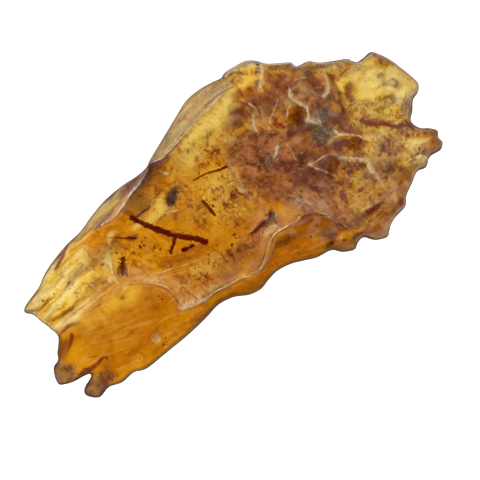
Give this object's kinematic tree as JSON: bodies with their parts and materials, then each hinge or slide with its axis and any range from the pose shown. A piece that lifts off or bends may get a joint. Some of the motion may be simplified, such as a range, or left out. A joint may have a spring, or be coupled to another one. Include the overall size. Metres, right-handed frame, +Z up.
{
  "type": "copal with insects",
  "caption": "Long natural lump of clear yellow-orange copal with a bevelled side, broken lobes and a lumpy crust, holding insects, a twig and a thin stem; rests on a small flat spot.",
  "frame": {"origin": "on the surface that the lump rests on, under the middle of its box", "axes": "+X along the lump towards its knobbed end, +Y across it towards the long bevel, +Z up"},
  "size_m": [0.0843, 0.0413, 0.0181],
  "materials": {
    "copal": "natural resin, glossy on breaks and dull on the crust",
    "twig": "dark maroon bark",
    "plant_stem": "dry reddish stem",
    "termite": "thin brown shell",
    "winged_ant": "dark brown shell and clear wings",
    "beetle": "dark grey shell",
    "ant": "dark shell",
    "gnat": "dark shell and clear wings"
  },
  "bodies": {
    "root": {"copal_upper": "copal", "copal_lower": "copal", "twig": "twig", "plant_stem": "plant_stem", "termite": "termite", "winged_ant": "winged_ant", "beetle": "beetle", "ant": "ant", "gnat": "gnat"}
  },
  "joints": []
}
